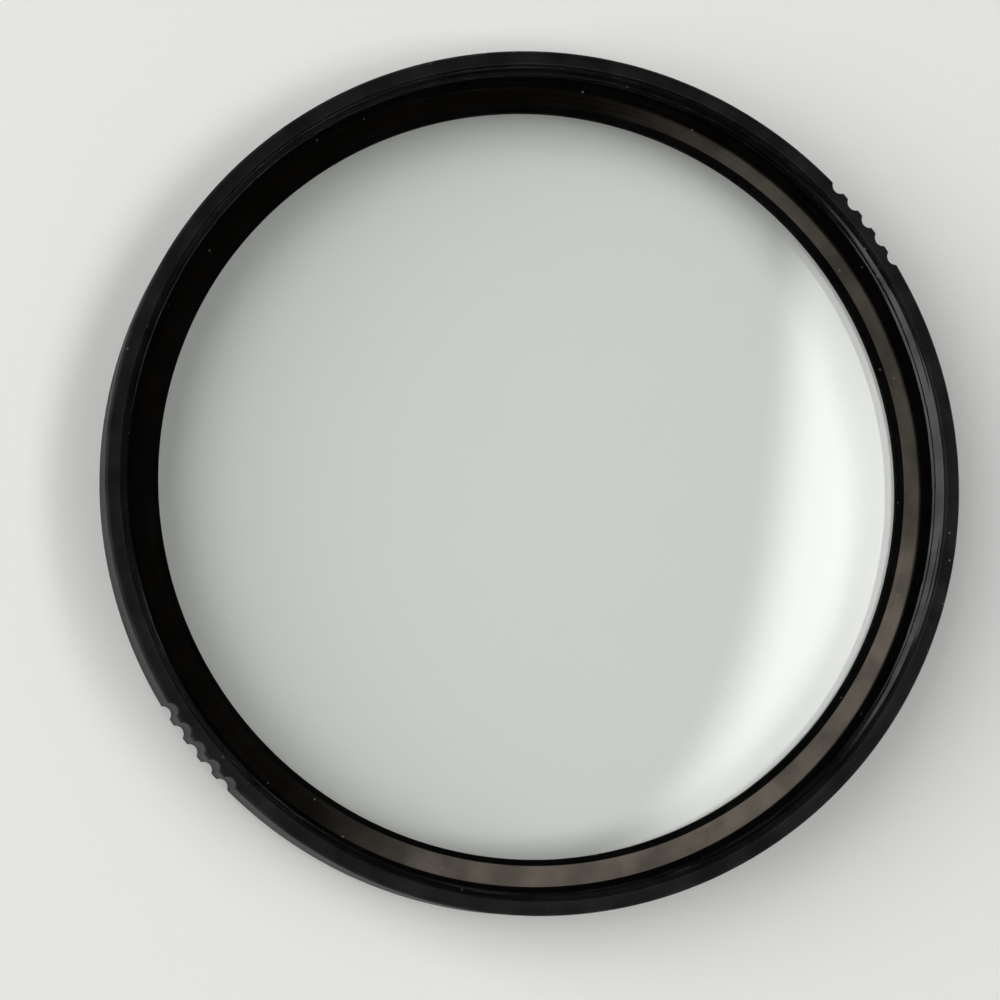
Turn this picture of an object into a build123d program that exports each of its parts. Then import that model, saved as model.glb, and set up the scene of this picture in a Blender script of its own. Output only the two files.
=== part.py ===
"""Screw-in lens filter, 52 mm: a turned ring, a glass disc and the ring that holds the glass.

Millimetres. The filter lies on the end of its male thread, with its front up.
The origin is the middle of that end, +Z runs along the optical axis towards the front,
and +X passes through the middle of a group of grip notches.
"""
from build123d import *
import os

# Screw thread, the same at the back of the filter and at its front
thread_diameter = 52.0
thread_depth = 0.40          # radial, crest to root of the 0.75 mm pitch
thread_clearance = 0.05      # radial, male crest below the nominal thread
thread_lead = 0.15           # radial, how far the front lead-in opens past the nominal thread
relief_width = 0.3           # plain groove where each thread runs out

# Turned ring
rim_wall = 1.0               # radial, from the nominal thread out to the gripped rim
rim_edge = 0.2               # rounding of the rim's two outer edges
stub_length = 2.1            # male end, from the rim's back face
stub_wall = 1.25             # radial, from the male crest in to the bore of the male end
stub_chamfer = 0.35          # lead-in of the male thread
bore_chamfer = 0.25          # back edge of the bore of the male end
back_recess = 2.3            # from the end of the male thread up to the back of the ledge
front_recess = 2.05          # from the top of the retaining ring up to the front face

# Grip notches, in two groups on opposite sides of the rim
notch_groups = 2
notch_count = 5
notch_pitch = 3.0            # degrees
notch_radius = 0.5
notch_depth = 0.31

# Glass and the ledge that it lies on
pocket_wall = 1.45           # radial, from the nominal thread in to the glass pocket
glass_clearance = 0.05       # radial, around the glass
glass_thickness = 1.2
glass_bevel = 0.15
ledge_width = 0.5            # radial, from the pocket in to the clear opening
ledge_thickness = 0.6

# Ring that holds the glass
retainer_height = 0.95       # at its bore
retainer_fall = 0.12         # axial, how far its front face falls from the bore out to its rim
retainer_overlap = 0.95      # radial, how far it covers the edge of the glass
retainer_bevel = 0.35        # front edge of its bore
retainer_clearance = 0.02    # radial, in its land
land_step = 0.35             # radial, land inside the thread's crest
shoulder_gap = 0.1           # axial, so the retaining ring bears on the glass alone

# Radii that follow
thread_radius = thread_diameter / 2
male_radius = thread_radius - thread_clearance
female_radius = thread_radius - thread_depth
male_relief_radius = male_radius - thread_depth - thread_clearance
rim_radius = thread_radius + rim_wall
stub_bore_radius = male_radius - stub_wall
land_radius = female_radius - land_step
pocket_radius = thread_radius - pocket_wall
opening_radius = pocket_radius - ledge_width
glass_radius = pocket_radius - glass_clearance
retainer_radius = land_radius - retainer_clearance
retainer_bore_radius = glass_radius - retainer_overlap

# Heights that follow
ledge_top = back_recess + ledge_thickness
glass_top = ledge_top + glass_thickness
shoulder_height = glass_top - shoulder_gap
retainer_top = glass_top + retainer_height
land_top = retainer_top - retainer_fall
relief_top = land_top + relief_width
front_height = retainer_top + front_recess
rim_height = front_height - stub_length

os.makedirs("parts", exist_ok=True)

# Ring: one turned piece, with the threads at their crests
with BuildPart() as filter_ring:
    with BuildSketch(Plane.XZ) as section:
        with BuildLine():
            Polyline(
                (stub_bore_radius, 0),
                (male_radius, 0),
                (male_radius, stub_length - relief_width),
                (male_relief_radius, stub_length - relief_width),
                (male_relief_radius, stub_length),
                (rim_radius, stub_length),
                (rim_radius, front_height),
                (female_radius, front_height),
                (female_radius, relief_top),
                (thread_radius, relief_top),
                (thread_radius, land_top),
                (land_radius, land_top),
                (land_radius, shoulder_height),
                (pocket_radius, shoulder_height),
                (pocket_radius, ledge_top),
                (opening_radius, ledge_top),
                (opening_radius, back_recess),
                (stub_bore_radius, back_recess),
                close=True,
            )
        make_face()
        # the rim's outer edges, then the lead-in of each thread and the back of the bore
        fillet(section.vertices().group_by(Axis.X)[-1], rim_edge)
        front_lead_in = thread_depth + thread_lead
        chamfer(section.vertices().group_by(Axis.Y)[-1].sort_by(Axis.X)[0], front_lead_in)
        chamfer(section.vertices().group_by(Axis.Y)[0].sort_by(Axis.X)[-1], stub_chamfer)
        chamfer(section.vertices().group_by(Axis.Y)[0].sort_by(Axis.X)[0], bore_chamfer)
    revolve(axis=Axis.Z)

    # scalloped notches, cut along the whole height of the rim
    notch_span = notch_pitch * (notch_count - 1)
    notch_centre_radius = rim_radius - notch_depth + notch_radius
    with BuildSketch(Plane.XY.offset(stub_length)):
        with PolarLocations(0, notch_groups):
            with PolarLocations(
                notch_centre_radius, notch_count, -notch_span / 2, notch_span, endpoint=True
            ):
                Circle(notch_radius)
    extrude(amount=rim_height, mode=Mode.SUBTRACT)

# Glass: a flat clear disc with ground edges
with BuildPart() as glass_disc:
    with BuildSketch(Plane.XY.offset(ledge_top)):
        Circle(glass_radius)
    extrude(amount=glass_thickness)
    chamfer(glass_disc.edges().filter_by(GeomType.CIRCLE), glass_bevel)

# Retaining ring: one turned piece, pressed in from the front, down onto the glass
with BuildPart() as retaining_ring:
    with BuildSketch(Plane.XZ) as retainer_section:
        with BuildLine():
            Polyline(
                (retainer_bore_radius, glass_top),
                (retainer_radius, glass_top),
                (retainer_radius, land_top),
                (retainer_bore_radius, retainer_top),
                close=True,
            )
        make_face()
        bore_corners = retainer_section.vertices().group_by(Axis.X)[0]
        chamfer(bore_corners.sort_by(Axis.Y)[-1], retainer_bevel)
    revolve(axis=Axis.Z)

filter_ring.part.label = "filter_ring"
glass_disc.part.label = "glass_disc"
retaining_ring.part.label = "retaining_ring"

export_step(filter_ring.part, "parts/filter_ring.step")
export_step(glass_disc.part, "parts/glass_disc.step")
export_step(retaining_ring.part, "parts/retaining_ring.step")
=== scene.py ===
# %% [markdown]
# # Screw-in lens filter
# A filter like this is three pieces: a turned ring of black anodised aluminium, a flat disc of clear glass,
# and a thin ring pressed in over the edge of the glass.
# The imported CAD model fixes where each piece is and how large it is, in metres.
# This lesson lays finer surfaces over those solids: cut screw threads, softened edges and real finishes.

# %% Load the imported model
import math

import bpy
import numpy as np
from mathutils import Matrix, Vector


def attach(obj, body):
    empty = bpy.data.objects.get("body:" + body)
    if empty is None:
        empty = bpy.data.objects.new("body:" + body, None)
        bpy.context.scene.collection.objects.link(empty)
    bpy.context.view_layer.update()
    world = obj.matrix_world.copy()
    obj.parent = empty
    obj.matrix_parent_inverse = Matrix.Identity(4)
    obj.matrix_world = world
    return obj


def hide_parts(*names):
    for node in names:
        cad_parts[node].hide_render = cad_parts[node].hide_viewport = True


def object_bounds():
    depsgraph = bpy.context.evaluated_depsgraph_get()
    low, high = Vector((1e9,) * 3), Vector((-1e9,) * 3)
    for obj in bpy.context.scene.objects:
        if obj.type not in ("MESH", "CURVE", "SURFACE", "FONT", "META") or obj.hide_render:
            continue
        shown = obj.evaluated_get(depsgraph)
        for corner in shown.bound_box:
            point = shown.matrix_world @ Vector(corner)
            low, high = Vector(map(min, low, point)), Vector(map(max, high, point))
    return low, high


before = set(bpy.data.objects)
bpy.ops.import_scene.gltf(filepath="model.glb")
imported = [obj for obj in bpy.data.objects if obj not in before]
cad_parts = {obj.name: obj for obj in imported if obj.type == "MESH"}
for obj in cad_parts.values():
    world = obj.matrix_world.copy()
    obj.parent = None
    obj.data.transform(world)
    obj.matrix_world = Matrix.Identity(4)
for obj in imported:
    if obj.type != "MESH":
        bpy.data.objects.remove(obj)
cad_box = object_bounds()
MM = 0.001
print("CAD nodes:", ", ".join(sorted(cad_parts)))
print("CAD box in mm:", [[round(v / MM, 2) for v in corner] for corner in cad_box])

# %% [markdown]
# ## Camera
# The filter is seen almost square on, leaning a little, so that its left outer wall and its right inner wall
# show. Here it lies flat and the camera hangs over it instead.
# A camera can be turned by three angles until it looks right, but those are hard to read back later.
# Instead its axes are worked out from one lean and from bearings in the picture, counted from picture right.
# The lamps below use the same bearings.

# %% Bearings in the picture
grip_bearing = 38.0          # degrees, where the first group of grip notches shows


def bearing(degrees):
    """Unit vector in the filter's plane, at degrees - grip_bearing from +X, the middle of those notches."""
    angle = math.radians(degrees - grip_bearing)
    return np.array([math.cos(angle), math.sin(angle), 0.0])


axis = np.array([0.0, 0.0, 1.0])
print("picture right is", bearing(0).round(3), "and picture up is", bearing(90).round(3))

# %% Camera
camera_distance = 232 * MM               # from the middle of the front face
camera_lean = math.radians(11.6)
camera_side = bearing(208.5)             # the side that the camera leans to
image_scale = 16.11 / MM                 # pixels per metre at the front face
image_width = 1000                       # pixels
ring_in_image = np.array([41.2, 21.4])   # pixels right of and above the middle of the image
sensor_width = 36.0                      # mm


def leaned(vector):
    """Turns a vector with the camera: its part along the side b goes to b cos(lean) - z sin(lean)."""
    along = vector @ camera_side
    turned = camera_side * math.cos(camera_lean) - axis * math.sin(camera_lean)
    return vector + along * (turned - camera_side)


camera_right, camera_up = leaned(bearing(0)), leaned(bearing(90))
camera_back = camera_side * math.sin(camera_lean) + axis * math.cos(camera_lean)
front_middle = axis * cad_box[1][2]
off_centre = (camera_right * ring_in_image[0] + camera_up * ring_in_image[1]) / image_scale
camera_place = front_middle + camera_back * camera_distance - off_centre

camera = bpy.data.objects.new("camera", bpy.data.cameras.new("camera"))
bpy.context.scene.collection.objects.link(camera)
camera_matrix = np.eye(4)
camera_matrix[:3] = np.column_stack([camera_right, camera_up, camera_back, camera_place])
camera.matrix_world = camera_matrix.T.tolist()
camera.data.sensor_width = sensor_width
camera.data.lens = sensor_width * image_scale * camera_distance / image_width
camera.data.clip_start = 10 * MM
bpy.context.scene.camera = camera
print("lens of", round(camera.data.lens, 1), "mm at", (camera_place / MM).round(1), "mm")

# %% [markdown]
# ## Section of the ring
# On a lathe the ring's whole shape is one closed section, carried once round the axis.
# A bevel modifier could soften its corners, but it would also round the threads.
# So each corner of the section gets its own cut, and is replaced by a small arc.
# The arc's middle is marked as an edge, because that is where the black dye rubs thin first.

# %% Rounding the corners of a section
ARC = np.linspace(0, 1, 7)
EDGE_MARK = np.array([0, 0, 0.5, 1, 1, 1, 0.5, 0, 0])
SAME_POINT = 1e-6            # mm, points closer than this are one


def eased_run(corners, cuts):
    """Rounds the inner corners of an open line of (radius, height) points. A third column marks edges.

    Corner P gives the arc from A to B, the points one cut before and after it:
    ((1-u)^2 A + 2wu(1-u) P + u^2 B) / ((1-u)^2 + 2wu(1-u) + u^2), with w the cosine of half the turn.
    One more point on each side, a cut further out, keeps the flat faces shaded flat. A cut of 0 stays sharp.
    """
    line = np.array(corners, float)
    here = line[1:-1]
    back, onward = line[:-2] - here, line[2:] - here
    back /= np.linalg.norm(back, axis=1, keepdims=True)
    onward /= np.linalg.norm(onward, axis=1, keepdims=True)
    cut = np.array(cuts, float)[:, None]
    weight = np.sqrt((1 - (back * onward).sum(1)) / 2)[:, None, None]
    first, last = (1 - ARC[None, :, None]) ** 2, ARC[None, :, None] ** 2
    middle = 2 * weight * (ARC * (1 - ARC))[None, :, None]
    start, end = here + cut * back, here + cut * onward
    arc = first * start[:, None] + middle * here[:, None] + last * end[:, None]
    arc /= first + middle + last
    before, after = here + 2 * cut * back, here + 2 * cut * onward
    rounded = np.concatenate([before[:, None], arc, after[:, None]], axis=1)
    marks = np.where(cut > 0, EDGE_MARK, 0.0)
    rounded = np.concatenate([rounded, marks[..., None]], axis=2).reshape(-1, 3)
    ends = np.column_stack([line[[0, -1]], [0.0, 0.0]])
    return np.vstack([ends[:1], rounded, ends[1:]])


def joined(*runs):
    """Puts runs end to end and leaves out each point that repeats the one before it."""
    section = np.vstack(runs)
    step = np.linalg.norm(section[:, :2] - np.roll(section[:, :2], 1, axis=0), axis=1)
    return section[step > SAME_POINT]


print("a rounded corner has", len(EDGE_MARK), "points")

# %% Sizes of the ring, in mm, as in the CAD source
rim_radius, front_height = 27.0, 7.1
rim_round = 0.2
edge_break = 0.04            # the small rounding that deburring leaves

thread_radius = 26.0         # nominal, the 52 mm filter thread
relief_width = 0.3           # plain groove where each thread runs out
male_crest, male_relief = 25.95, 25.5
stub_length, stub_chamfer = 2.1, 0.35
stub_bore, bore_chamfer = 24.7, 0.25
male_top = stub_length - relief_width

female_crest = 25.6
lead_radius = 26.15          # where the front lead-in starts
lead_in = 0.1                # how far the front edge's own arc reaches down the lead-in
land_radius, land_top = 25.25, 4.93
relief_top = land_top + relief_width

ledge_back, ledge_top, glass_top = 2.3, 2.9, 4.1
pocket_radius, opening_radius = 24.55, 24.05
shoulder_gap = 0.1           # the retaining ring bears on the glass alone
shoulder = glass_top - shoulder_gap
print("male thread from 0 to", male_top, "mm, female thread from", relief_top, "to", front_height, "mm")

# %% Outer half of the section: male thread and rim
thread_step = 0.045          # sample spacing along the threads
male_z = np.linspace(0, male_top, round(male_top / thread_step))
male_wall = np.minimum(male_crest - stub_chamfer + male_z, male_crest)
male_run = np.column_stack([male_wall, male_z, 0 * male_z])
rim_run = eased_run(
    [
        (male_relief, male_top),
        (male_relief, stub_length),
        (rim_radius, stub_length),
        (rim_radius, front_height),
        (lead_radius, front_height),
        (lead_radius - lead_in, front_height - lead_in),
    ],
    [0, rim_round, rim_round, edge_break],
)
print("male thread", len(male_run), "points, rim", len(rim_run), "points")

# %% Inner half of the section: female thread, groove and seat of the glass
female_z = np.linspace(front_height - lead_in, relief_top, round((front_height - relief_top) / thread_step))
female_wall = np.maximum(lead_radius - (front_height - female_z), female_crest)
female_run = np.column_stack([female_wall, female_z, 0 * female_z])
groove_run = eased_run(
    [
        (thread_radius, relief_top),
        (thread_radius, land_top),
        (land_radius, land_top),
        (land_radius, shoulder),
    ],
    [0, 0],
)
seat_run = eased_run(
    [
        (land_radius, shoulder),
        (pocket_radius, shoulder),
        (pocket_radius, ledge_top),
        (opening_radius, ledge_top),
        (opening_radius, ledge_back),
        (stub_bore, ledge_back),
        (stub_bore, bore_chamfer),
        (stub_bore + bore_chamfer, 0.0),
        (male_crest - stub_chamfer, 0.0),
    ],
    [0, 0, edge_break, edge_break, 0, edge_break, edge_break],
)
print("female thread", len(female_run), "points, seat", len(seat_run), "points")

# %% The closed section, with the finish of each run in a fourth column
# the rim is blasted matt, threads and seat are left as turned, and the groove is inked
BLASTED, TURNED, INKED = 0, 1, 2
ring_runs = (
    (male_run, TURNED),
    (rim_run, BLASTED),
    (female_run, TURNED),
    (groove_run, INKED),
    (seat_run, TURNED),
)
ring_section = joined(*(np.insert(run, 3, finish, axis=1) for run, finish in ring_runs))
print("the ring's section has", len(ring_section), "points")

# %% [markdown]
# ## Screw threads
# Both ends carry the same metric thread, with a pitch of 0.75 mm, sloping flanks, flat crest and flat root.
# A helix could be swept as a separate cutter and subtracted, but booleans on such thin slivers are fragile.
# A thread is simply a radius that depends on height and on the turn, so it is written as one function.
# The cut goes as deep as the lead-in chamfer or the thread, whichever is deeper, as on the lathe.

# %% Thread profile
pitch = 0.75
thread_depth = 0.38
crest_half = pitch / 8       # half of the flat crest
flank_run = 0.231            # along the axis, one flank


def thread_cut(turn, height):
    """Depth of the thread, 0 at the crest and thread_depth at the root.

    The distance x from the middle of a crest repeats every pitch along height - pitch * turn / (2 pi).
    The depth rises along the flank as half a cosine wave, from x = crest_half over flank_run.
    """
    phase = np.mod(height / pitch - turn / (2 * np.pi), 1.0)
    from_crest = np.abs(phase - 0.5) * pitch
    flank = np.clip((from_crest - crest_half) / flank_run, 0, 1)
    return thread_depth * (0.5 - 0.5 * np.cos(np.pi * flank))


print("thread", pitch, "mm pitch, cut", thread_depth, "mm deep")

# %% [markdown]
# ## Grip notches
# Two groups of five scalloped notches are milled across the rim, so that fingers can turn it.
# Each is part of a small cylinder parallel to the axis, and ten cylinders could be cut away by booleans.
# But seen along the axis, the rim's radius is a function of the bearing alone, so it is written as one.
# Taking a smooth maximum instead of a sharp one leaves the slightly blunt lands that tumbling gives.

# %% Radius of the rim at each bearing
notch_groups, notch_steps = (0, 180), (-6, -3, 0, 3, 6)     # degrees from +X
notch_bearings = np.radians(np.add.outer(notch_groups, notch_steps).ravel())
notch_radius, notch_depth = 0.5, 0.31
notch_centre = rim_radius - notch_depth + notch_radius
land_blunting = 0.05


def rim_at(turn):
    """Radius of the rim: its circle less the bite of the nearest notch.

    A ray at angle d from a notch's middle meets its circle at c cos d - sqrt(n^2 - (c sin d)^2), with c the
    distance of that circle's centre and n its radius. The bite b below the rim is eased to
    (b + sqrt(b^2 + e^2)) / 2, with e the blunting, less what that gives outside every notch.
    """
    gap = np.mod(turn[:, None] - notch_bearings + np.pi, 2 * np.pi) - np.pi
    across = notch_centre * np.sin(gap)
    inside = (np.abs(across) < notch_radius) & (np.cos(gap) > 0)
    wall = notch_centre * np.cos(gap) - np.sqrt(np.maximum(notch_radius**2 - across**2, 0))
    outside_bite = rim_radius - notch_centre
    bite = np.where(inside, rim_radius - wall, outside_bite).max(axis=1)
    eased = (bite + np.sqrt(bite**2 + land_blunting**2)) / 2
    return rim_radius - eased + (outside_bite + math.hypot(outside_bite, land_blunting)) / 2


coarse_step, fine_step, fine_reach = 1.5, 0.125, 8   # degrees, fine up to fine_reach from a group's middle
coarse_turn = np.arange(0, 360, coarse_step)
fine_turn = np.add.outer(notch_groups, np.arange(-fine_reach, fine_reach, fine_step)).ravel()
ring_turn = np.radians(np.unique(np.round(np.mod(np.concatenate([coarse_turn, fine_turn]), 360), 4)))
print("rim radius from", rim_at(ring_turn).min().round(3), "to", rim_at(ring_turn).max().round(3), "mm")

# %% [markdown]
# ## The ring as a grid
# One parameter runs round the axis and the other along the section, so the ring is a closed grid of quads.
# The Screw modifier could turn the section too, but threads and notches change the radius at every bearing.
# Smooth shading with sharp edges by angle lets small arcs look round while the lathe's corners stay crisp.

# %% From a closed grid to a mesh
sharp_angle = 42             # degrees


def finish_mesh(name, points, faces):
    """Puts points, in mm, and faces into a new smooth-shaded object at the origin."""
    mesh = bpy.data.meshes.new(name)
    mesh.from_pydata((points * MM).tolist(), [], faces)
    mesh.polygons.foreach_set("use_smooth", np.ones(len(mesh.polygons), bool))
    mesh.set_sharp_from_angle(angle=math.radians(sharp_angle))
    mesh.update()
    piece = bpy.data.objects.new(name, mesh)
    bpy.context.scene.collection.objects.link(piece)
    return piece


def quads_of(rows, columns, closed):
    """Quads (i, j), (i+1, j), (i+1, j+1), (i, j+1) of a grid. Its rows close, and its columns if closed."""
    index = np.arange(rows * columns).reshape(rows, columns)
    onward = np.roll(index, -1, axis=0)
    quads = np.stack([index, onward, np.roll(onward, -1, axis=1), np.roll(index, -1, axis=1)], axis=-1)
    return (quads if closed else quads[:, :-1]).reshape(-1, 4).tolist()


def around(turn, radius, height):
    """Points (r cos t, r sin t, z), one row for each turn t."""
    height = np.broadcast_to(height, radius.shape)
    return np.stack([radius * np.cos(turn)[:, None], radius * np.sin(turn)[:, None], height], axis=-1)


print("edges that turn more than", sharp_angle, "degrees stay sharp")

# %% Radius of the ring at each bearing and point of the section
lathe_radius, height = ring_section[:, 0], ring_section[:, 1]
radius = np.tile(lathe_radius, (len(ring_turn), 1))
cut = thread_cut(ring_turn[:, None], height[None, :])
on_male = (height <= male_top) & (lathe_radius > male_crest - stub_chamfer - SAME_POINT)
on_female = (height <= front_height - lead_in) & (height >= relief_top)
on_female &= (lathe_radius < thread_radius - SAME_POINT) & (lathe_radius > female_crest - SAME_POINT)
radius = np.where(on_male, np.minimum(radius, male_crest - cut), radius)
radius = np.where(on_female, np.maximum(radius, female_crest + cut), radius)

rim_inner = 26.4             # inside this the notches move nothing
squeeze = (rim_at(ring_turn)[:, None] - rim_inner) / (rim_radius - rim_inner)
radius = np.where(radius > rim_inner, rim_inner + (radius - rim_inner) * squeeze, radius)
female_radii = radius[:, on_female]
print("female thread between radii", female_radii.min().round(2), "and", female_radii.max().round(2), "mm")

# %% Ring
ring_points = around(ring_turn, radius, height).reshape(-1, 3)
ring = finish_mesh("threaded_ring", ring_points, quads_of(*radius.shape, closed=True))
edge = ring.data.attributes.new("edge", "FLOAT", "POINT")
rubbed = ring_section[:, 2] * (ring_section[:, 3] == BLASTED)   # fingers reach the rim only
edge.data.foreach_set("value", np.tile(rubbed, len(ring_turn)).astype(np.float32))
ring_finish = np.tile(ring_section[:, 3], len(ring_turn)).astype(np.int32)
ring.data.polygons.foreach_set("material_index", ring_finish)
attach(ring, "root")
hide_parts("filter_ring")
print("threaded_ring:", len(ring.data.polygons), "quads")

# %% [markdown]
# ## Retaining ring
# A plain turned ring, pressed into the larger one over the edge of the glass.
# A stock tube would do from afar, but the front face falls a little towards the wall, and the bore has
# a bevel at the front. So it is the same kind of grid as the ring.
# The bore is inked dead black against stray light, so the front face has a finish of its own.

# %% Retaining ring
plain_turn = np.radians(np.arange(0, 360, 1.0))
retainer_top = 5.05          # at the bore, if it had no bevel
retainer_rim, retainer_bore, retainer_bevel = 25.23, 23.55, 0.35
retainer_seam = 24.5         # where the section starts and ends, on the face that bears on the glass
fall = (retainer_top - land_top) / (retainer_rim - retainer_bore)
retainer_corners = [
    (retainer_seam, glass_top),
    (retainer_rim, glass_top),
    (retainer_rim, land_top),
    (retainer_bore + retainer_bevel, retainer_top - fall * retainer_bevel),
    (retainer_bore, retainer_top - retainer_bevel),
    (retainer_bore, glass_top),
    (retainer_seam, glass_top),
]
retainer_section = joined(eased_run(retainer_corners, [0, 0, edge_break, edge_break, 0]))
retainer_radius = np.tile(retainer_section[:, 0], (len(plain_turn), 1))
retainer_points = around(plain_turn, retainer_radius, retainer_section[:, 1]).reshape(-1, 3)
retainer = finish_mesh("pressed_retainer", retainer_points, quads_of(*retainer_radius.shape, closed=True))
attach(retainer, "root")
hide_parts("retaining_ring")
print("pressed_retainer:", len(retainer.data.polygons), "quads")

# %% Inked faces of the retaining ring
# all but the front face, along which the section runs inwards and up the fall
onward = np.roll(retainer_section, -1, axis=0) - retainer_section
behind_face = ~((onward[:, 0] < 0) & np.isclose(onward[:, 1], -fall * onward[:, 0]))
retainer_finish = np.tile(behind_face, len(plain_turn)).astype(np.int32)
retainer.data.polygons.foreach_set("material_index", retainer_finish)
print("inked quads:", int(retainer_finish.sum()))

# %% [markdown]
# ## Glass
# A polished disc with parallel faces and narrow ground bevels.
# A cylinder with a bevel modifier would do too, but the section's own arcs are already at hand.
# It is drawn a hair thinner than the solid, so that no two surfaces lie in one plane, which would flicker.
# Only its edge needs a grid: each flat face is one polygon.

# %% Glass disc
hair = 0.008
glass_edge, glass_bevel, bevel_round = 24.5, 0.15, 0.03
face_reach = 23.0            # inside this each face is one polygon
glass_corners = [
    (face_reach, ledge_top + hair),
    (glass_edge - glass_bevel, ledge_top + hair),
    (glass_edge, ledge_top + glass_bevel),
    (glass_edge, glass_top - glass_bevel),
    (glass_edge - glass_bevel, glass_top - hair),
    (face_reach, glass_top - hair),
]
glass_section = joined(eased_run(glass_corners, [bevel_round] * 4))
glass_radius = np.tile(glass_section[:, 0], (len(plain_turn), 1))
glass_points = around(plain_turn, glass_radius, glass_section[:, 1]).reshape(-1, 3)
glass_index = np.arange(glass_radius.size).reshape(glass_radius.shape)
glass_faces = quads_of(*glass_radius.shape, closed=False)
glass_faces += [glass_index[::-1, 0].tolist(), glass_index[:, -1].tolist()]
glass = finish_mesh("polished_glass", glass_points, glass_faces)
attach(glass, "root")
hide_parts("glass_disc")
print("polished_glass:", len(glass.data.polygons), "faces")

# %% [markdown]
# ## Finishes
# Each finish is a small node tree on object coordinates, which are metres here.
# Colours are written as sRGB hex values, as a paint program shows them, and turned to linear once.

# %% Helpers for finishes
def hex_colour(code):
    """Linear RGBA of an sRGB hex value: c / 12.92 for dark channels, else ((c + 0.055) / 1.055)^2.4."""
    srgb = np.array([int(code[i : i + 2], 16) for i in (1, 3, 5)]) / 255
    linear = np.where(srgb <= 0.04045, srgb / 12.92, ((srgb + 0.055) / 1.055) ** 2.4)
    return (*linear.tolist(), 1.0)


def add(tree, kind, inputs=None, **settings):
    """Adds a node, gives it its settings, and fills its inputs with values or links from other sockets."""
    made = tree.nodes.new("ShaderNode" + kind)
    for name, value in settings.items():
        setattr(made, name, value)
    for name, value in (inputs or {}).items():
        if isinstance(value, bpy.types.NodeSocket):
            tree.links.new(value, made.inputs[name])
        else:
            made.inputs[name].default_value = value
    return made


def new_finish(name):
    """An empty material, its tree and its output node."""
    finish = bpy.data.materials.new(name)
    finish.use_nodes = True
    finish.node_tree.nodes.clear()
    return finish, finish.node_tree, add(finish.node_tree, "OutputMaterial")


print("mid grey, written #808080, is", round(hex_colour("#808080")[0], 3), "in linear light")

# %% [markdown]
# ## Black anodised aluminium
# Anodising grows a hard clear oxide on the turned metal, and the dye in it makes it black.
# So the eye gets a satin sheen from the oxide, faint rings from the lathe tool, and hardly any colour.
# One black all over would be simpler, but the faces were made in four ways and differ in shine.
# The rim is blasted matt. The threads and the seat of the glass are left as turned.
# The front of the retaining ring has faded a little warm. Its bore and the groove round it are inked black.
# The tool's rings depend on radius and height alone, so noise is read there, changing slowly round the axis.
# Real feed marks are about 0.05 mm apart, finer than a pixel, so they are drawn 0.16 mm apart.
# Dye and shine are patchy, the rim's edges rub a little lighter, and a few specks of dust lie on it all.

# %% Anodised finish
mark_spacing = 0.16 * MM
height_weight = 1.3                      # not 1, so that 45 degree chamfers get rings either way
ring_drift = 1.5                         # how far the noise moves from the axis, to change round it
mottle_size = 2.2 * MM
dust_spacing = 1.5 * MM
speck_core, speck_edge = 0.03, 0.06      # radii of a speck, in parts of dust_spacing
speck_cover = 0.3                        # how much of the black a speck hides
worn_black, dust_grey = "#2c2c2d", "#8c8983"
oxide_ior = 1.6


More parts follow.
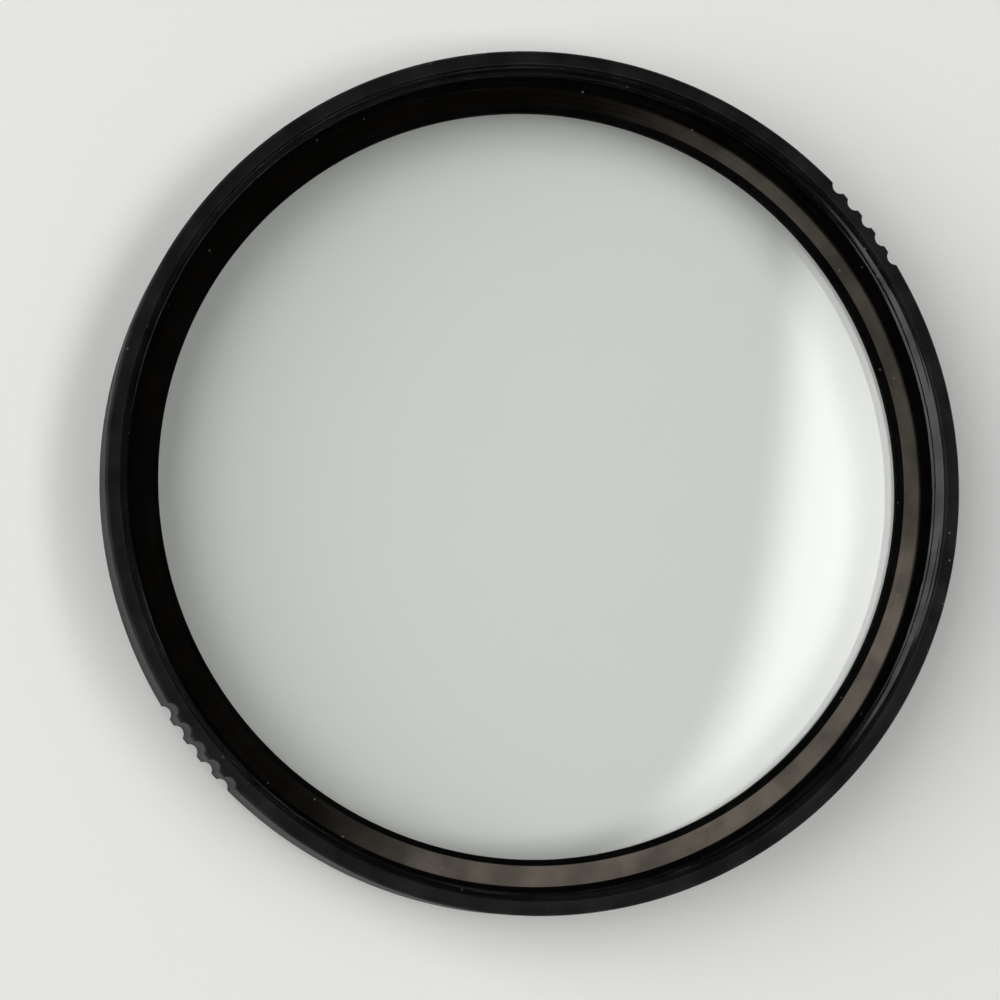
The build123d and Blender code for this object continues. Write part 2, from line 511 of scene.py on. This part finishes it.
def anodised(name, dye, faded_dye, roughness, mark_depth, gloss, gloss_tint="#ffffff"):
    """Dyed oxide: dye mottled towards faded_dye, roughness from smooth to rough, tool rings mark_depth deep.

    The pores of the oxide swallow part of the mirror image, so gloss is set below the usual 0.5.
    """
    finish, tree, output = new_finish(name)
    place = add(tree, "TexCoord").outputs["Object"]
    across = add(tree, "VectorMath", {0: place, 1: (1, 1, 0)}, operation="MULTIPLY").outputs["Vector"]
    radius = add(tree, "VectorMath", {0: across}, operation="LENGTH").outputs["Value"]
    compass = add(tree, "VectorMath", {0: across}, operation="NORMALIZE").outputs["Vector"]
    height = add(tree, "SeparateXYZ", {0: place}).outputs["Z"]
    track = add(tree, "Math", {0: height, 1: height_weight, 2: radius}, operation="MULTIPLY_ADD").outputs[0]
    rings = add(tree, "Math", {0: track, 1: 1 / mark_spacing}, operation="MULTIPLY").outputs[0]
    rings = add(tree, "CombineXYZ", {"Z": rings}).outputs[0]
    drift = (ring_drift, ring_drift, 0)
    swept = add(tree, "VectorMath", {0: compass, 1: drift, 2: rings}, operation="MULTIPLY_ADD")
    marks = add(tree, "TexNoise", {"Vector": swept.outputs["Vector"], "Scale": 1.0, "Detail": 1.0})
    mottle = add(tree, "TexNoise", {"Vector": place, "Scale": 1 / mottle_size, "Detail": 3.0})

    edge = add(tree, "Attribute", attribute_name="edge").outputs["Fac"]
    rubbed = add(tree, "Math", {0: edge, 1: mottle.outputs["Fac"]}, operation="MULTIPLY").outputs[0]
    specks = add(tree, "TexVoronoi", {"Vector": place, "Scale": 1 / dust_spacing})
    speck = {"Value": specks.outputs["Distance"], "From Min": speck_core, "From Max": speck_edge}
    dust = add(tree, "MapRange", {**speck, "To Min": speck_cover, "To Max": 0.0}).outputs["Result"]

    shade = add(tree, "MapRange", {"Value": mottle.outputs["Fac"], "From Min": 0.35, "From Max": 0.7})
    black = {"Factor": shade.outputs["Result"], 6: hex_colour(dye), 7: hex_colour(faded_dye)}
    colour = add(tree, "Mix", black, data_type="RGBA").outputs[2]
    worn = {"Factor": rubbed, 6: colour, 7: hex_colour(worn_black)}
    colour = add(tree, "Mix", worn, data_type="RGBA").outputs[2]
    dusted = {"Factor": dust, 6: colour, 7: hex_colour(dust_grey)}
    colour = add(tree, "Mix", dusted, data_type="RGBA").outputs[2]

    grain = {"Value": marks.outputs["Fac"], "From Min": 0.3, "From Max": 0.7}
    sheen = add(tree, "MapRange", {**grain, "To Min": roughness[0], "To Max": roughness[1]})
    rough = add(tree, "Math", {0: dust, 1: sheen.outputs["Result"]}, operation="MAXIMUM").outputs[0]
    patches = {"Value": mottle.outputs["Fac"], "From Min": 0.35, "From Max": 0.65}
    patchy = add(tree, "MapRange", {**patches, "To Min": 0.75 * gloss, "To Max": 1.25 * gloss})
    bump = add(tree, "Bump", {"Strength": 1.0, "Distance": mark_depth, "Height": marks.outputs["Fac"]})
    shader = add(
        tree, "BsdfPrincipled",
        {
            "Base Color": colour, "Roughness": rough, "IOR": oxide_ior, "Normal": bump.outputs["Normal"],
            "Specular IOR Level": patchy.outputs["Result"], "Specular Tint": hex_colour(gloss_tint),
        },
    )
    tree.links.new(shader.outputs[0], output.inputs["Surface"])
    return finish


print("tool marks", mark_spacing / MM, "mm apart, specks of dust in cells of", dust_spacing / MM, "mm")

# %% The four black finishes
blasted = anodised(
    "black_anodised_aluminium_blasted", dye="#040405", faded_dye="#09090a",
    roughness=(0.45, 0.58), mark_depth=0.004 * MM, gloss=0.08,
)
turned = anodised(
    "black_anodised_aluminium_turned", dye="#020202", faded_dye="#050505",
    roughness=(0.1, 0.18), mark_depth=0.003 * MM, gloss=0.24,
)
faded = anodised(
    "black_anodised_aluminium_faded", dye="#030302", faded_dye="#060504",
    roughness=(0.11, 0.16), mark_depth=0.001 * MM, gloss=0.155, gloss_tint="#fff0dc",
)
inked = anodised(
    "black_anodised_aluminium_inked", dye="#020202", faded_dye="#040404",
    roughness=(0.75, 0.9), mark_depth=0.003 * MM, gloss=0.03,
)
for finish in (blasted, turned, inked):   # in the order of BLASTED, TURNED and INKED
    ring.data.materials.append(finish)
for finish in (faded, inked):
    retainer.data.materials.append(finish)
print("ring has", len(ring.data.materials), "finishes, retaining ring", len(retainer.data.materials))

# %% [markdown]
# ## Clear glass
# Polished crown glass, IOR 1.52: it bends light, mirrors about 8 percent of it, and has hardly any colour.
# A plain glass shader would leave the floor under it dark, since path tracing finds lamps through glass only
# by chance. So for rays towards the lamps, and for light that the floor scatters, it is plainly transparent,
# with the share of light that two polished faces let through. A faint haze varies its polish.

# %% Glass finish
haze_size, haze_roughness = 9 * MM, 0.02
crown_ior = 1.52
glass_finish, tree, output = new_finish("clear_crown_glass_polished")
place = add(tree, "TexCoord").outputs["Object"]
haze = add(tree, "TexNoise", {"Vector": place, "Scale": 1 / haze_size, "Detail": 4.0})
hazy = {"Value": haze.outputs["Fac"], "From Min": 0.45, "From Max": 0.75}
polish = add(tree, "MapRange", {**hazy, "To Min": 0.0, "To Max": haze_roughness}).outputs["Result"]
clear = add(
    tree, "BsdfPrincipled",
    {"Base Color": hex_colour("#fdfefd"), "Roughness": polish, "IOR": crown_ior, "Transmission Weight": 1.0},
)
passing = add(tree, "BsdfTransparent", {"Color": hex_colour("#f6f7f6")})
ray = add(tree, "LightPath").outputs
straight = add(tree, "Math", {0: ray["Is Shadow Ray"], 1: ray["Is Diffuse Ray"]}, operation="MAXIMUM")
either = add(tree, "MixShader", {0: straight.outputs[0], 1: clear.outputs[0], 2: passing.outputs[0]})
tree.links.new(either.outputs[0], output.inputs["Surface"])
glass.data.materials.append(glass_finish)
print("glass haze patches about", haze_size / MM, "mm wide")

# %% [markdown]
# ## Studio
# A pale floor that curves up into a wall all round gives the black ring something to mirror at low angles,
# and shows a plain background from every side.
# A plane and four walls would show their corners, so it is one more section carried round the axis.

# %% Floor and wall
floor_core = 5.0             # mm, inside this the floor is one polygon
floor_reach, wall_curve, wall_top = 900.0, 500.0, 1400.0
bend = np.linspace(0, np.pi / 2, 25)
sweep_section = np.vstack(
    [
        [[floor_core, 0.0]],
        np.column_stack([floor_reach + wall_curve * np.sin(bend), wall_curve * (1 - np.cos(bend))]),
        [[floor_reach + wall_curve, wall_top]],
    ]
)
sweep_radius = np.tile(sweep_section[:, 0], (len(plain_turn), 1))
sweep_points = around(plain_turn, sweep_radius, sweep_section[:, 1]).reshape(-1, 3)
sweep_faces = [quad[::-1] for quad in quads_of(*sweep_radius.shape, closed=False)]
sweep_faces.append(np.arange(sweep_radius.size).reshape(sweep_radius.shape)[:, 0].tolist())
floor = finish_mesh("pale_floor", sweep_points, sweep_faces)

floor_finish, tree, output = new_finish("pale_matt_paper")
paper_white = {"Base Color": hex_colour("#ebece9"), "Roughness": 0.9, "Specular IOR Level": 0.2}
paper = add(tree, "BsdfPrincipled", paper_white)
tree.links.new(paper.outputs[0], output.inputs["Surface"])
floor.data.materials.append(floor_finish)
print("floor reaches", floor_reach, "mm and the wall", wall_top, "mm")

# %% [markdown]
# ## Lamps
# Black metal shows little but what it mirrors, so each lamp stands where its mirror image is wanted.
# One large soft panel hangs over the right. The glass and the retaining ring mirror it, as a bright patch
# on the right of the glass and a lit band on the ring.
# A second panel stands on the left, and shows in the lead-in and the flanks of the thread on the far side.
# A lamp is usually set by its power, but then a larger one looks dimmer.
# An area lamp's radiance is its power over pi times its area, so the power is worked out from that.

# %% Soft panels
def soft_panel(name, middle, across, up, size, radiance):
    """A rectangular lamp at middle, in mm, with sides along across and up, shining along -(across x up)."""
    lamp = bpy.data.lights.new(name, "AREA")
    lamp.shape, lamp.size, lamp.size_y = "RECTANGLE", size[0] * MM, size[1] * MM
    lamp.energy = radiance * math.pi * lamp.size * lamp.size_y
    panel = bpy.data.objects.new(name, lamp)
    bpy.context.scene.collection.objects.link(panel)
    matrix = np.eye(4)
    matrix[:3] = np.column_stack([across, up, np.cross(across, up), np.array(middle) * MM])
    panel.matrix_world = matrix.T.tolist()
    print(name, "power", round(lamp.energy, 2), "W")
    return lamp


left_bearing, left_angle, left_distance = 172.0, math.radians(45), 620.0
left_size, left_radiance = (600.0, 720.0), 2.75
left_back = bearing(left_bearing) * math.cos(left_angle) + axis * math.sin(left_angle)
left_across = bearing(left_bearing + 90)
left_up = np.cross(left_back, left_across)
soft_panel("left_panel", left_back * left_distance, left_across, left_up, left_size, left_radiance)

overhead_middle, overhead_size = np.array([170.0, 40.0]), np.array([300.0, 500.0])
overhead_height, overhead_radiance = 555.0, 4.15
right, up = bearing(0), bearing(90)
overhead_place = right * overhead_middle[0] + up * overhead_middle[1] + axis * overhead_height
overhead_lamp = soft_panel("overhead_panel", overhead_place, right, up, overhead_size, overhead_radiance)

# %% [markdown]
# ## Grading of the overhead panel
# The bright patch has a bent left edge and brightens past it. The lit band is dimmer at the upper right.
# A picture on the lamp could give that, but three smooth ramps across the panel do it without any file.
# The panel fades in past two lines that meet in a soft corner, grows a little further in, and falls past a
# third line.

# %% Lines and ramps on the overhead panel
# a line is the bearing of its far side, in degrees, and its distance from the filter's axis, in mm
edge_lines = ((-5.0, 155.0), (-51.0, 98.0))
edge_rounding, feather = 60.0, 14.0
rise_start, rise_end, rise_level = 6.0, 26.0, 1.4    # how far past the edge the light grows, and to what
dim_line, dim_width, dim_level = (45.0, 195.0), 55.0, 0.5    # past this line the light falls


def past_line(tree, spot, line_bearing, distance):
    """How far a spot of the panel lies past a line, in mm: its place along the bearing, less the distance.

    A spot runs from 0 to 1 along each side, so its place is middle + (spot - 1/2) * size.
    """
    turn = math.radians(line_bearing)
    facing = np.array([math.cos(turn), math.sin(turn)])
    along = add(tree, "VectorMath", {0: spot, 1: (*(overhead_size * facing), 0)}, operation="DOT_PRODUCT")
    start = distance - (overhead_middle - overhead_size / 2) @ facing
    return add(tree, "Math", {0: along.outputs["Value"], 1: start}, operation="SUBTRACT").outputs[0]


overhead_lamp.use_nodes = True
tree = overhead_lamp.node_tree
spot = add(tree, "NewGeometry").outputs["Parametric"]
first, second = (past_line(tree, spot, *line) for line in edge_lines)
past = add(tree, "Math", {0: first, 1: second, 2: edge_rounding}, operation="SMOOTH_MAX").outputs[0]
dim = past_line(tree, spot, *dim_line)
level = 1.0
for value, start, end, low, high in (
    (past, -feather / 2, feather / 2, 0.0, 1.0),
    (past, rise_start, rise_end, 1.0, rise_level),
    (dim, 0.0, dim_width, 1.0, dim_level),
):
    span = {"Value": value, "From Min": start, "From Max": end, "To Min": low, "To Max": high}
    ramp = add(tree, "MapRange", span, interpolation_type="SMOOTHSTEP").outputs["Result"]
    level = add(tree, "Math", {0: level, 1: ramp}, operation="MULTIPLY").outputs[0]
tree.links.new(level, tree.nodes["Emission"].inputs["Strength"])
print("the overhead panel fades in over", feather, "mm")

# %% [markdown]
# ## Room
# A little light from all round keeps the deepest shadows from going quite black, as pale walls do.
# A picture of a room would light it too, but the black ring would mirror whatever it shows.
# The Standard view shows each colour as it is written.

# %% Room
room_level = 0.04
world = bpy.data.worlds.new("soft_room")
world.use_nodes = True
background = world.node_tree.nodes["Background"]
background.inputs["Color"].default_value = hex_colour("#ffffff")
background.inputs["Strength"].default_value = room_level
bpy.context.scene.world = world
bpy.context.scene.view_settings.view_transform = "Standard"
print("room light", room_level)
